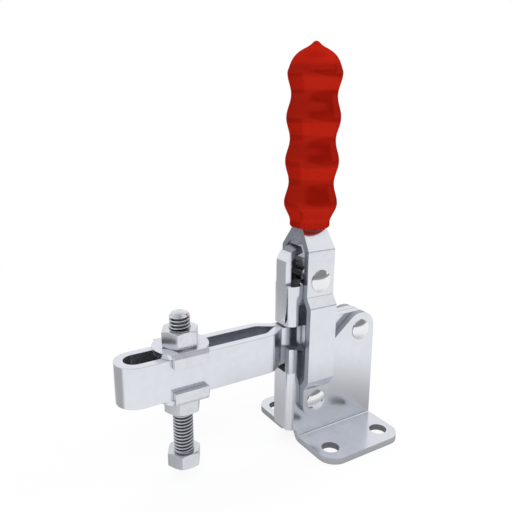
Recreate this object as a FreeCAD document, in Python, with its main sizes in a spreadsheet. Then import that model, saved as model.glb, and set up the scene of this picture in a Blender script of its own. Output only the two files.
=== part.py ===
import FreeCAD, Part
import math
import os
import Sketcher
from FreeCAD import Placement, Rotation, Vector

# Vertical toggle clamp with a slotted arm and a screw spindle, in millimetres.
# The origin is the middle of the four mounting holes, on the underside of the base.
# The arm points to -X, the back of the base is +X, and +Z is up.

doc = FreeCAD.newDocument("toggle_clamp")
sheet = doc.addObject("Spreadsheet::Sheet", "Sizes")

DRIVING_SIZES = [
    # Fits and clearances
    ("pivot_play", 0.05),
    ("side_play", 0.15),
    ("thread_play", 0.05),
    ("lug_clearance", 0.3),
    # How far a trimming outline reaches past what it trims
    ("trim_margin", 30.0),
    # Folded base
    ("hole_pitch_x", 27.0),
    ("hole_pitch_y", 40.7),
    ("hole_radius", 3.8),
    ("flange_front", 20.5),
    ("flange_rear", 20.6),
    ("flange_side_margin", 8.6),
    ("flange_corner_radius", 7.5),
    ("base_sheet", 2.8),
    ("base_half_gap", 3.7),
    ("base_bend_radius", 0.7),
    ("crease_radius", 0.6),
    ("web_front", 26.1),
    ("web_bottom", 6.6),
    ("web_top", 33.8),
    ("relief_x", 21.0),
    ("relief_radius", 2.2),
    ("lug_height", 45.3),
    ("lug_back_height", 43.0),
    ("lug_radius", 2.0),
    ("valley_height", 39.3),
    ("valley_front_gap", 4.9),
    ("valley_back_gap", 4.6),
    ("shoulder_gap", 3.2),
    ("boss_rise", 8.0),
    ("boss_radius", 7.6),
    # Pivots
    ("lever_pivot_x", -13.5),
    ("lever_pivot_z", 19.7),
    ("arm_pivot_x", 12.8),
    ("arm_pivot_z", 46.0),
    ("lever_reach", 54.0),
    ("lever_lean", 0.8),
    ("shank_radius", 3.0),
    ("bush_wall", 1.2),
    ("sleeve_wall", 1.4),
    ("rivet_head_radius", 4.65),
    ("rivet_head_height", 1.3),
    ("rivet_head_edge", 0.35),
    # Folded arm
    ("arm_height", 16.2),
    ("arm_sheet", 3.45),
    ("arm_half_width", 7.8),
    ("arm_nose", 97.8),
    ("arm_bend_start", 34.7),
    ("arm_bend_angle", 33.6),
    ("arm_bend_radius", 2.0),
    ("arm_end_flat", 0.3),
    # Folded link
    ("link_sheet", 2.8),
    ("link_bend_radius", 0.8),
    ("link_bottom_rise", 0.6),
    ("link_reach", 13.5),
    ("link_eye_radius", 5.2),
    ("link_head_radius", 6.4),
    ("link_notch_drop", 1.7),
    ("tongue_half_width", 3.4),
    ("tongue_rise", 8.9),
    ("tongue_bend_angle", 70.0),
    ("tongue_bend_radius", 6.0),
    ("tongue_tip", 3.7),
    # Joggled lever plates
    ("lever_sheet", 2.6),
    ("lever_half_width", 6.75),
    ("lever_end_flat", 0.3),
    ("lever_bottom_drop", 7.2),
    ("lever_bulge_bottom", 26.0),
    ("lever_bulge_margin", 10.5),
    ("lever_bulge_half_width", 12.0),
    ("lever_joggle_angle", 32.0),
    ("lever_taper_start", 86.5),
    ("lever_taper_angle", 34.0),
    ("lever_bend_radius", 0.5),
    ("lever_outer_bend", 1.0),
    ("tang_half_gap", 0.05),
    ("tang_half_width", 6.1),
    ("tang_top", 148.0),
    # Moulded grip
    ("grip_bottom", 93.5),
    ("grip_offset_x", 0.1),
    ("grip_collar_radius", 8.2),
    ("grip_collar_height", 4.0),
    ("grip_rim_width", 0.4),
    ("grip_bulge_radius", 10.8),
    ("grip_neck_radius", 9.15),
    ("grip_first_bulge", 104.6),
    ("grip_pitch", 17.0),
    ("grip_tip_rise", 11.6),
    ("socket_play", 0.15),
    # Spindle, nuts and flanged washers
    ("spindle_x", -71.9),
    ("spindle_radius", 4.0),
    ("spindle_length", 58.5),
    ("spindle_tip_chamfer", 0.9),
    ("spindle_top", 69.0),
    ("head_height", 5.1),
    ("hex_flats", 13.0),
    ("nut_height", 6.6),
    ("hex_chamfer_angle", 28.0),
    ("hex_chamfer_start", 0.2),
    ("washer_radius", 10.85),
    ("washer_bore_play", 0.3),
    ("washer_sheet", 2.2),
    ("washer_tab_depth", 3.3),
    ("washer_tab_length", 13.8),
    ("washer_bend_radius", 1.8),
    ("washer_tab_play", 0.15),
]


class Size:
    """A number together with the sheet expression that gives it."""

    def __init__(self, value, text):
        self.value = float(value)
        self.text = text

    def joined(self, other, sign, value):
        return Size(value, "(" + self.text + " " + sign + " " + other.text + ")")

    def __add__(self, other):
        other = as_size(other)
        return self.joined(other, "+", self.value + other.value)

    def __sub__(self, other):
        other = as_size(other)
        return self.joined(other, "-", self.value - other.value)

    def __mul__(self, other):
        other = as_size(other)
        return self.joined(other, "*", self.value * other.value)

    def __truediv__(self, other):
        other = as_size(other)
        return self.joined(other, "/", self.value / other.value)

    def __neg__(self):
        return Size(-self.value, "(0 - " + self.text + ")")


def as_size(number):
    if isinstance(number, Size):
        return number
    return Size(number, repr(number))


def tangent_of(angle):
    """Tangent of a Size that holds degrees."""
    return Size(math.tan(math.radians(angle.value)), "tan(" + angle.text + " * 1 deg)")


def sine_of(angle):
    return Size(math.sin(math.radians(angle.value)), "sin(" + angle.text + " * 1 deg)")


def cosine_of(angle):
    return Size(math.cos(math.radians(angle.value)), "cos(" + angle.text + " * 1 deg)")


def root_of(size):
    return Size(math.sqrt(size.value), "sqrt(" + size.text + ")")


def fill_sheet(rows):
    """Write the driving sizes to the sheet and return them as Sizes by alias."""
    sizes = {}
    for row, (alias, value) in enumerate(rows, start=1):
        sheet.set("A" + str(row), alias)
        sheet.set("B" + str(row), str(value))
        sheet.setAlias("B" + str(row), alias)
        sizes[alias] = Size(value, sheet.Name + "." + alias)
    return sizes


S = fill_sheet(DRIVING_SIZES)
doc.recompute()
ZERO = as_size(0)
SIDES = (("left", 1), ("right", -1))
GRIP_BULGES = 4
# Share of the swing between a finger bulge's crest and its necks, at even steps between them
BULGE_SHARES = (1.0, 0.86, 0.5, 0.14, 0.0, 0.14, 0.5, 0.86)
# Steps from the grip's collar to its first crest, as shares of the way up and of the way out
COLLAR_SHARES = ((0.0, 0.0), (0.22, 0.17), (0.49, 0.53), (0.75, 0.86))
# Steps over the grip's crown, as shares of the bulge radius and of the tip's height
CROWN_SHARES = (
    (0.96, 0.12), (0.905, 0.27), (0.82, 0.435), (0.69, 0.58), (0.52, 0.70), (0.29, 0.815),
    (0.18, 0.89), (0.09, 0.97))
# Corners of a rivet head's slopes, as shares of its radius and of its rise above the edge
HEAD_SHARES = ((1.0, 0.0), (0.72, 0.58), (0.38, 1.0))
TOLERANCE = 0.01


# Sketching

def new_body(label):
    body = doc.addObject("PartDesign::Body", label)
    body.Label = label
    return body


def place(thing, x, z):
    thing.setExpression("Placement.Base.x", x.text)
    thing.setExpression("Placement.Base.z", z.text)


def lean_lever(body, x):
    """Move a body along X and lean it about the lever's pivot with the rest of the lever."""
    angle = S["lever_lean"]
    across = x - S["lever_pivot_x"]
    up = -S["lever_pivot_z"]
    base_x = S["lever_pivot_x"] + across * cosine_of(angle) + up * sine_of(angle)
    base_z = S["lever_pivot_z"] - across * sine_of(angle) + up * cosine_of(angle)
    body.Placement = Placement(Vector(0, 0, 0), Rotation(Vector(0, 1, 0), angle.value))
    body.setExpression("Placement.Rotation.Angle", angle.text + " * 1 deg")
    place(body, base_x, base_z)


def new_sketch(body, name, role, offset=None):
    """A sketch on one of the body's own origin planes, moved along its normal."""
    sketch = body.newObject("Sketcher::SketchObject", name)
    for plane in body.Origin.OriginFeatures:
        if plane.Role == role:
            sketch.AttachmentSupport = (plane, [""])
    sketch.MapMode = "FlatFace"
    if offset is not None:
        sketch.setExpression("AttachmentOffset.Base.z", offset.text)
    return sketch


def bind(sketch, kind, geometry, size):
    """Add one dimension to a sketch and tie it to the sheet."""
    if kind in ("DistanceX", "DistanceY"):
        constraint = Sketcher.Constraint(kind, -1, 1, geometry[0], geometry[1], size.value)
    else:
        constraint = Sketcher.Constraint(kind, geometry[0], size.value)
    index = sketch.addConstraint(constraint)
    sketch.setExpression("Constraints[" + str(index) + "]", size.text)


def pin_point(sketch, geometry, point, x, y):
    bind(sketch, "DistanceX", (geometry, point), x)
    bind(sketch, "DistanceY", (geometry, point), y)


def circle(sketch, x, y, radius):
    geometry = sketch.addGeometry(
        Part.Circle(Vector(x.value, y.value, 0), Vector(0, 0, 1), radius.value), False)
    pin_point(sketch, geometry, 3, x, y)
    bind(sketch, "Radius", (geometry,), radius)


def corner_round(before, corner, after, radius):
    """Tangent points and centre of the arc that rounds a corner, and its turning sense."""
    back = (before - corner).normalize()
    ahead = (after - corner).normalize()
    half_angle = back.getAngle(ahead) / 2
    reach = radius / math.tan(half_angle)
    middle = (back + ahead).normalize()
    centre = corner + middle * (radius / math.sin(half_angle))
    turns_left = back.cross(ahead).z < 0
    return corner + back * reach, corner + ahead * reach, centre, turns_left


def outline(sketch, corners):
    """Closed outline of straight edges through corners (x, y) or (x, y, rounding radius)."""
    count = len(corners)
    points = [Vector(c[0].value, c[1].value, 0) for c in corners]
    entries = []
    exits = []
    arcs = []
    for i, c in enumerate(corners):
        if len(c) == 3:
            first, last, centre, turns_left = corner_round(
                points[i - 1], points[i], points[(i + 1) % count], c[2].value)
            start, end = (first, last) if turns_left else (last, first)
            a0 = math.atan2(start.y - centre.y, start.x - centre.x)
            a1 = math.atan2(end.y - centre.y, end.x - centre.x)
            if a1 < a0:
                a1 += 2 * math.pi
            ring = Part.Circle(centre, Vector(0, 0, 1), c[2].value)
            arcs.append((Part.ArcOfCircle(ring, a0, a1), turns_left))
            entries.append(first)
            exits.append(last)
        else:
            arcs.append(None)
            entries.append(points[i])
            exits.append(points[i])
    lines = []
    for i in range(count):
        edge = Part.LineSegment(exits[i], entries[(i + 1) % count])
        lines.append(sketch.addGeometry(edge, False))
    for i, c in enumerate(corners):
        arriving = lines[i - 1]
        leaving = lines[i]
        if arcs[i] is None:
            sketch.addConstraint(Sketcher.Constraint("Coincident", arriving, 2, leaving, 1))
            pin_point(sketch, leaving, 1, c[0], c[1])
            continue
        arc = sketch.addGeometry(arcs[i][0], False)
        first_end, last_end = (1, 2) if arcs[i][1] else (2, 1)
        virtual = sketch.addGeometry(Part.Point(points[i]), True)
        pin_point(sketch, virtual, 1, c[0], c[1])
        sketch.addConstraint(Sketcher.Constraint("PointOnObject", virtual, 1, arriving))
        sketch.addConstraint(Sketcher.Constraint("PointOnObject", virtual, 1, leaving))
        sketch.addConstraint(Sketcher.Constraint("Tangent", arriving, 2, arc, first_end))
        sketch.addConstraint(Sketcher.Constraint("Tangent", leaving, 1, arc, last_end))
        bind(sketch, "Radius", (arc,), c[2])


def rectangle(sketch, x0, y0, x1, y1):
    outline(sketch, [(x0, y0), (x1, y0), (x1, y1), (x0, y1)])


# Features

def pad(body, name, sketch, length, symmetric=False):
    feature = body.newObject("PartDesign::Pad", name)
    feature.Profile = sketch
    feature.setExpression("Length", length.text)
    if symmetric:
        feature.SideType = "Symmetric"
    return feature


def cut_through(body, name, sketch):
    feature = body.newObject("PartDesign::Pocket", name)
    feature.Profile = sketch
    feature.Type = "ThroughAll"
    feature.SideType = "Symmetric"
    return feature


def turn(body, name, sketch, kind="PartDesign::Revolution"):
    """A full turn about the sketch's own vertical axis."""
    feature = body.newObject(kind, name)
    feature.Profile = sketch
    feature.ReferenceAxis = (sketch, ["V_Axis"])
    feature.Angle = 360
    return feature


def fillet(body, name, radius, wanted):
    """Round the edges of the body's last feature that pass the test."""
    doc.recompute()
    tip = body.Tip
    names = []
    for number, edge in enumerate(tip.Shape.Edges, start=1):
        if wanted(edge):
            names.append("Edge" + str(number))
    if not names:
        raise ValueError(name + " finds no edge")
    feature = body.newObject("PartDesign::Fillet", name)
    feature.Base = (tip, names)
    feature.setExpression("Radius", radius.text)
    return feature


def trim_to(body, name, corners):
    """Cut away all that lies outside a silhouette seen from the side."""
    sketch = new_sketch(body, name + "_outline", "XZ_Plane")
    margin = S["trim_margin"]
    xs = [c[0] for c in corners]
    zs = [c[1] for c in corners]
    low_x = min(xs, key=lambda s: s.value) - margin
    high_x = max(xs, key=lambda s: s.value) + margin
    low_z = min(zs, key=lambda s: s.value) - margin
    high_z = max(zs, key=lambda s: s.value) + margin
    rectangle(sketch, low_x, low_z, high_x, high_z)
    outline(sketch, corners)
    return cut_through(body, name, sketch)


# Sizes that several pieces share
base_outer = S["base_half_gap"] + S["base_sheet"]
arm_pinch = S["base_half_gap"] - S["side_play"]
arm_bottom = S["arm_pivot_z"] - S["arm_height"] / 2
arm_top = S["arm_pivot_z"] + S["arm_height"] / 2
link_inner = base_outer - S["link_sheet"]
lever_inner = base_outer + S["side_play"]
lever_outer = lever_inner + S["lever_sheet"]
toggle_x = S["lever_pivot_x"] + S["lever_reach"] * sine_of(S["lever_lean"])
toggle_z = S["lever_pivot_z"] + S["lever_reach"] * cosine_of(S["lever_lean"])
flange_half_width = S["hole_pitch_y"] / 2 + S["flange_side_margin"]
shank_hole = S["shank_radius"] + S["pivot_play"]
bush_outer = shank_hole + S["bush_wall"]
bush_hole = bush_outer + S["pivot_play"]
spindle_hole = S["spindle_radius"] + S["thread_play"]


# Base: one sheet folded into two side plates, a front web and two flanges

def make_base():
    body = new_body("base_frame")
    inner = S["base_half_gap"]
    sheet_side = S["base_sheet"]
    bend = S["base_bend_radius"]
    crease_outer = sheet_side + S["crease_radius"]
    rear = S["flange_rear"]
    front = -S["web_front"]
    web_back = front + sheet_side
    plate_top = S["arm_pivot_z"] + S["boss_rise"]

    channel = new_sketch(body, "channel_plan", "XY_Plane", crease_outer)
    outline(channel, [
        (front, -base_outer, bend + sheet_side),
        (rear, -base_outer),
        (rear, -inner),
        (web_back, -inner, bend),
        (web_back, inner, bend),
        (rear, inner),
        (rear, base_outer),
        (front, base_outer, bend + sheet_side),
    ])
    pad(body, "channel", channel, plate_top - crease_outer)

    for side, sign in SIDES:
        section = new_sketch(body, side + "_flange_section", "YZ_Plane", -S["flange_front"])
        outline(section, [
            (inner * sign, S["web_bottom"]),
            (inner * sign, ZERO, crease_outer),
            (flange_half_width * sign, ZERO),
            (flange_half_width * sign, sheet_side),
            (base_outer * sign, sheet_side, S["crease_radius"]),
            (base_outer * sign, S["web_bottom"]),
        ])
        pad(body, side + "_flange", section, S["flange_front"] + rear)
        lug = new_sketch(body, side + "_lug_plan", "XY_Plane", S["web_top"])
        rectangle(lug, front, inner * sign, front + bend + sheet_side, base_outer * sign)
        pad(body, side + "_lug", lug, S["lug_height"] - S["web_top"])

    eye_front = toggle_x - S["link_eye_radius"]
    floor_front = S["lever_pivot_x"] - S["valley_front_gap"]
    floor_back = S["lever_pivot_x"] + S["valley_back_gap"]
    trim_to(body, "side_trim", [
        (rear, ZERO),
        (rear, plate_top, S["boss_radius"]),
        (S["arm_pivot_x"] - S["shoulder_gap"], plate_top, S["boss_radius"]),
        (floor_back, S["valley_height"], S["lug_radius"] * 2),
        (floor_front, S["valley_height"], S["lug_radius"]),
        (eye_front - S["lug_clearance"], S["lug_back_height"], S["lug_radius"]),
        (front, S["lug_height"], S["crease_radius"]),
        (front, S["web_bottom"], S["crease_radius"]),
        (-S["relief_x"], S["web_bottom"], S["relief_radius"]),
        (-S["relief_x"], ZERO),
    ])

    arm_way = new_sketch(body, "arm_way_front", "YZ_Plane")
    rectangle(arm_way, -inner, S["web_top"], inner, plate_top + S["trim_margin"])
    cut_through(body, "arm_way", arm_way)

    pivots = new_sketch(body, "pivot_holes_side", "XZ_Plane")
    circle(pivots, S["lever_pivot_x"], S["lever_pivot_z"], shank_hole)
    circle(pivots, S["arm_pivot_x"], S["arm_pivot_z"], shank_hole)
    cut_through(body, "pivot_holes", pivots)

    holes = new_sketch(body, "mounting_holes_plan", "XY_Plane")
    for x_sign in (-1, 1):
        for y_sign in (-1, 1):
            x = S["hole_pitch_x"] / 2 * x_sign
            y = S["hole_pitch_y"] / 2 * y_sign
            circle(holes, x, y, S["hole_radius"])
    cut_through(body, "mounting_holes", holes)

    def flange_corner(edge):
        middle = edge.CenterOfMass
        upright = abs(edge.tangentAt(edge.FirstParameter).z) > 1 - TOLERANCE
        return upright and abs(abs(middle.y) - flange_half_width.value) < TOLERANCE

    fillet(body, "flange_corners", S["flange_corner_radius"], flange_corner)


# Arm: one flat bar folded round the slot and pinched together at the pivots

def make_arm():
    body = new_body("arm_bar")
    wide = S["arm_half_width"]
    thickness = S["arm_sheet"]
    slot = wide - thickness
    seam = arm_pinch - thickness
    nose = S["arm_half_width"] - S["arm_nose"]
    bend_start = -S["arm_bend_start"]
    bend_end = bend_start + (wide - arm_pinch) / tangent_of(S["arm_bend_angle"])
    shift = thickness * tangent_of(S["arm_bend_angle"] / 2)
    rear = S["arm_pivot_x"] + S["arm_height"] / 2
    small = S["arm_bend_radius"]
    large = small + thickness

    plan = new_sketch(body, "bar_plan", "XY_Plane", arm_bottom)
    outline(plan, [
        (nose, -wide),
        (bend_start, -wide, large),
        (bend_end, -arm_pinch, small),
        (rear, -arm_pinch),
        (rear, arm_pinch),
        (bend_end, arm_pinch, small),
        (bend_start, wide, large),
        (nose, wide),
    ])
    pad(body, "bar", plan, S["arm_height"])
    nose_plan = new_sketch(body, "nose_plan", "XY_Plane", arm_bottom)
    circle(nose_plan, nose, ZERO, wide)
    pad(body, "nose", nose_plan, S["arm_height"])

    slot_plan = new_sketch(body, "slot_plan", "XY_Plane")
    outline(slot_plan, [
        (nose, slot),
        (bend_start - shift, slot, small),
        (bend_end - shift, seam, large),
        (rear + thickness, seam),
        (rear + thickness, -seam),
        (bend_end - shift, -seam, large),
        (bend_start - shift, -slot, small),
        (nose, -slot),
    ])
    cut_through(body, "slot", slot_plan)
    slot_nose = new_sketch(body, "slot_nose_plan", "XY_Plane")
    circle(slot_nose, nose, ZERO, slot)
    cut_through(body, "slot_end", slot_nose)

    end_radius = (S["arm_height"] - S["arm_end_flat"]) / 2
    trim_to(body, "rounded_end", [
        (-S["arm_nose"], arm_bottom),
        (rear, arm_bottom, end_radius),
        (rear, arm_top, end_radius),
        (-S["arm_nose"], arm_top),
    ])

    holes = new_sketch(body, "pivot_holes_side", "XZ_Plane")
    circle(holes, toggle_x, S["arm_pivot_z"], bush_hole)
    circle(holes, S["arm_pivot_x"], S["arm_pivot_z"], bush_hole)
    cut_through(body, "pivot_holes", holes)


# Link: a folded channel whose front web runs on upwards as a bent tongue

def make_link():
    body = new_body("toggle_link")
    pivot = toggle_x
    thickness = S["link_sheet"]
    front = pivot - S["link_reach"]
    web_back = front + thickness
    bottom = arm_top + S["link_bottom_rise"]
    notch = toggle_z - S["link_notch_drop"]
    eye = S["link_eye_radius"]
    head = S["link_head_radius"]
    eye_round = eye - S["arm_end_flat"] / 2
    head_round = head - S["arm_end_flat"] / 2
    bend = S["link_bend_radius"]

    channel = new_sketch(body, "channel_plan", "XY_Plane", S["arm_pivot_z"] - eye)
    outline(channel, [
        (front, -base_outer, bend + thickness),
        (pivot + head, -base_outer),
        (pivot + head, -link_inner),
        (web_back, -link_inner, bend),
        (web_back, link_inner, bend),
        (pivot + head, link_inner),
        (pivot + head, base_outer),
        (front, base_outer, bend + thickness),
    ])
    pad(body, "channel", channel, toggle_z + head - S["arm_pivot_z"] + eye)
    trim_to(body, "side_trim", [
        (front, bottom),
        (pivot - eye, bottom, bend),
        (pivot - eye, S["arm_pivot_z"] - eye, eye_round),
        (pivot + eye, S["arm_pivot_z"] - eye, eye_round),
        (pivot + head, toggle_z - head),
        (pivot + head, toggle_z + head, head_round),
        (pivot - head, toggle_z + head, head_round),
        (pivot - head, notch, bend),
        (front, notch),
    ])

    angle = S["tongue_bend_angle"]
    outer = S["tongue_bend_radius"]
    inner = outer - thickness
    bend_z = notch + S["tongue_rise"] + outer * tangent_of(angle / 2)
    run = outer * tangent_of(angle / 2) + S["tongue_tip"]
    shift = thickness * tangent_of(angle / 2)
    tip_x = front + run * sine_of(angle)
    tip_z = bend_z + run * cosine_of(angle)
    tongue = new_sketch(body, "tongue_side", "XZ_Plane")
    outline(tongue, [
        (front, notch - thickness),
        (web_back, notch - thickness),
        (web_back, bend_z - shift, inner),
        (tip_x + thickness * cosine_of(angle), tip_z - thickness * sine_of(angle)),
        (tip_x, tip_z),
        (front, bend_z, outer),
    ])
    pad(body, "tongue", tongue, S["tongue_half_width"] * 2, symmetric=True)

    holes = new_sketch(body, "pivot_holes_side", "XZ_Plane")
    circle(holes, pivot, S["arm_pivot_z"], shank_hole)
    circle(holes, pivot, toggle_z, shank_hole)
    cut_through(body, "pivot_holes", holes)


# Lever plates: joggled outwards over the arm pivot and drawn together inside the grip

def make_lever_plate(side, sign):
    body = new_body("lever_plate_" + side)
    thickness = S["lever_sheet"]
    out_angle = S["lever_joggle_angle"]
    taper_angle = S["lever_taper_angle"]
    bulge = S["lever_bulge_half_width"]
    tang_outer = S["tang_half_gap"] + thickness
    foot = S["lever_pivot_z"] - S["lever_bottom_drop"]
    z1 = S["lever_bulge_bottom"]
    z2 = z1 + (bulge - lever_outer) / tangent_of(out_angle)
    z3 = S["lever_pivot_z"] + S["lever_reach"] - S["lever_bulge_margin"]
    z4 = z3 + (bulge - lever_outer) / tangent_of(taper_angle)
    z5 = S["lever_taper_start"]
    z6 = z5 + (lever_outer - tang_outer) / tangent_of(taper_angle)
    up = thickness * tangent_of(out_angle / 2)
    down = thickness * tangent_of(taper_angle / 2)
    small = S["lever_bend_radius"]
    large = S["lever_outer_bend"]
    outer_side = [
        (lever_outer, foot),
        (lever_outer, z1, small),
        (bulge, z2, large),
        (bulge, z3, large),
        (lever_outer, z4, small),
        (lever_outer, z5, large),
        (tang_outer, z6, small),
        (tang_outer, S["tang_top"]),
    ]
    inner_side = [
        (S["tang_half_gap"], S["tang_top"]),
        (S["tang_half_gap"], z6 - down, large),
        (lever_inner, z5 - down, small),
        (lever_inner, z4 - down, large),
        (bulge - thickness, z3 - down, small),
        (bulge - thickness, z2 + up, small),
        (lever_inner, z1 + up, large),
        (lever_inner, foot),
    ]
    corners = [(c[0] * sign,) + c[1:] for c in outer_side + inner_side]
    section = new_sketch(body, "section", "YZ_Plane", S["lever_pivot_x"] - S["lever_half_width"])
    outline(section, corners)
    pad(body, "strip", section, S["lever_half_width"] * 2)

    middle = S["lever_pivot_x"]
    low_x = middle - S["lever_half_width"]
    high_x = middle + S["lever_half_width"]
    end_round = S["lever_half_width"] - S["lever_end_flat"] / 2
    trim_to(body, "side_trim", [
        (low_x, foot, end_round),
        (high_x, foot, end_round),
        (high_x, z5),
        (middle + S["tang_half_width"], S["grip_bottom"]),
        (middle + S["tang_half_width"], S["tang_top"], small),
        (middle - S["tang_half_width"], S["tang_top"], small),
        (middle - S["tang_half_width"], S["grip_bottom"]),
        (low_x, z5),
    ])

    holes = new_sketch(body, "pivot_holes_side", "XZ_Plane")
    circle(holes, middle, S["lever_pivot_z"], shank_hole)
    circle(holes, middle, S["lever_pivot_z"] + S["lever_reach"], shank_hole)
    cut_through(body, "pivot_holes", holes)
    lean_lever(body, ZERO)


# Grip: a turned row of finger bulges with a socket for the tangs

def bulge_row(first_z):
    """Corners of the finger bulges, from the first crest to the last."""
    step = S["grip_pitch"] / len(BULGE_SHARES)
    swing = S["grip_bulge_radius"] - S["grip_neck_radius"]
    corners = []
    for number in range(len(BULGE_SHARES) * (GRIP_BULGES - 1) + 1):
        share = BULGE_SHARES[number % len(BULGE_SHARES)]
        corners.append((S["grip_neck_radius"] + swing * share, first_z + step * number))
    return corners


def make_grip():
    body = new_body("handle_grip")
    bottom = S["grip_bottom"]
    collar = S["grip_collar_radius"]
    crown = S["grip_first_bulge"] + S["grip_pitch"] * (GRIP_BULGES - 1)
    first_rise = S["grip_first_bulge"] - bottom - S["grip_collar_height"]
    first_swing = S["grip_bulge_radius"] - collar
    profile = new_sketch(body, "half_profile", "XZ_Plane")
    corners = [
        (ZERO, bottom),
        (collar - S["grip_rim_width"], bottom),
        (collar, bottom + S["grip_rim_width"]),
    ]
    for along, out in COLLAR_SHARES:
        corners.append((collar + first_swing * out,
                        bottom + S["grip_collar_height"] + first_rise * along))
    corners += bulge_row(S["grip_first_bulge"])
    for out, up in CROWN_SHARES:
        corners.append((S["grip_bulge_radius"] * out, crown + S["grip_tip_rise"] * up))
    corners.append((ZERO, crown + S["grip_tip_rise"]))
    outline(profile, corners)
    turn(body, "turned", profile)

    taper = tangent_of(S["lever_taper_angle"])
    tang = S["tang_half_gap"] + S["lever_sheet"] + S["socket_play"]
    slope_end = S["lever_taper_start"] + (lever_outer + S["socket_play"] - tang) / taper
    mouth = tang + (slope_end - bottom) * taper
    top = S["tang_top"] + S["socket_play"]
    socket = new_sketch(body, "socket_section", "YZ_Plane")
    outline(socket, [
        (-mouth, bottom),
        (mouth, bottom),
        (tang, slope_end),
        (tang, top),
        (-tang, top),
        (-tang, slope_end),
    ])
    pocket = cut_through(body, "socket", socket)
    pocket.Type = "Length"
    pocket.setExpression("Length", ((S["tang_half_width"] + S["socket_play"]) * 2).text)
    lean_lever(body, S["lever_pivot_x"] + S["grip_offset_x"])


# Turned pieces: rivets, bushes and sleeves, all lying along Y

def rivet_head(seat, sign):
    """Corners of half a rivet head, from its seat up its slopes to its crown on the axis."""
    radius = S["rivet_head_radius"]
    rise = S["rivet_head_height"] - S["rivet_head_edge"]
    corners = [(radius, seat * sign)]
    for out, up in HEAD_SHARES:
        corners.append((radius * out, (seat + S["rivet_head_edge"] + rise * up) * sign))
    corners.append((ZERO, (seat + S["rivet_head_height"]) * sign))
    return corners


def make_rivet(label, pivot_x, pivot_z, seat):
    body = new_body(label)
    low_head = rivet_head(seat, -1)
    low_head.reverse()
    shank = [(S["shank_radius"], -seat), (S["shank_radius"], seat)]
    section = new_sketch(body, "half_section", "XY_Plane")
    outline(section, low_head + shank + rivet_head(seat, 1))
    turn(body, "turned", section)
    place(body, pivot_x, pivot_z)


def make_arm_rivet_stud(side, sign):
    """Headed end of the arm rivet, up to the pinched bar."""
    body = new_body("arm_rivet_" + side)
    inner_end = S["base_half_gap"] * sign
    section = new_sketch(body, "half_section", "XY_Plane")
    outline(section, [
        (ZERO, inner_end),
        (S["shank_radius"], inner_end),
        (S["shank_radius"], base_outer * sign),
    ] + rivet_head(base_outer, sign))
    turn(body, "turned", section)
    place(body, S["arm_pivot_x"], S["arm_pivot_z"])


def make_ring(label, pivot_x, pivot_z, inner, outer, half_length):
    body = new_body(label)
    section = new_sketch(body, "half_section", "XY_Plane")
    rectangle(section, inner, -half_length, outer, half_length)
    turn(body, "turned", section)
    place(body, pivot_x, pivot_z)


def make_shank():
    """Middle of the arm rivet, inside the pinched bar."""
    body = new_body("arm_rivet_shank")
    section = new_sketch(body, "half_section", "XY_Plane")
    rectangle(section, ZERO, -arm_pinch, S["shank_radius"], arm_pinch)
    turn(body, "turned", section)
    place(body, S["arm_pivot_x"], S["arm_pivot_z"])


# Spindle, nuts and flanged washers

def hexagon(sketch):
    corner = S["hex_flats"] / root_of(as_size(3))
    flat = S["hex_flats"] / 2
    outline(sketch, [
        (corner, ZERO),
        (corner / 2, flat),
        (-corner / 2, flat),
        (-corner, ZERO),
        (-corner / 2, -flat),
        (corner / 2, -flat),
    ])


def chamfer_hex(body, bottom, top):
    """Turn the corners of a hexagon down at both ends."""
    corner = S["hex_flats"] / root_of(as_size(3)) + S["hex_chamfer_start"]
    start = S["hex_flats"] / 2 - S["hex_chamfer_start"]
    drop = (corner - start) * tangent_of(S["hex_chamfer_angle"])
    section = new_sketch(body, "corner_section", "XZ_Plane")
    outline(section, [(start, top), (corner, top), (corner, top - drop)])
    outline(section, [(start, bottom), (corner, bottom + drop), (corner, bottom)])
    turn(body, "turned_corners", section, "PartDesign::Groove")


def make_nut(label, bottom):
    body = new_body(label)
    plan = new_sketch(body, "hexagon_plan", "XY_Plane")
    hexagon(plan)
    circle(plan, ZERO, ZERO, spindle_hole)
    pad(body, "hexagon", plan, S["nut_height"])
    chamfer_hex(body, ZERO, S["nut_height"])
    place(body, S["spindle_x"], bottom)


def make_spindle():
    body = new_body("spindle_bolt")
    plan = new_sketch(body, "head_plan", "XY_Plane")
    hexagon(plan)
    pad(body, "head", plan, S["head_height"])
    chamfer_hex(body, ZERO, S["head_height"])
    tip = S["head_height"] + S["spindle_length"]
    chamfer = S["spindle_tip_chamfer"]
    section = new_sketch(body, "shaft_section", "XZ_Plane")
    outline(section, [
        (ZERO, S["head_height"] / 2),
        (S["spindle_radius"], S["head_height"] / 2),
        (S["spindle_radius"], tip - chamfer),
        (S["spindle_radius"] - chamfer, tip),
        (ZERO, tip),
    ])
    turn(body, "shaft", section)
    place(body, S["spindle_x"], S["spindle_top"] - tip)


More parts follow.
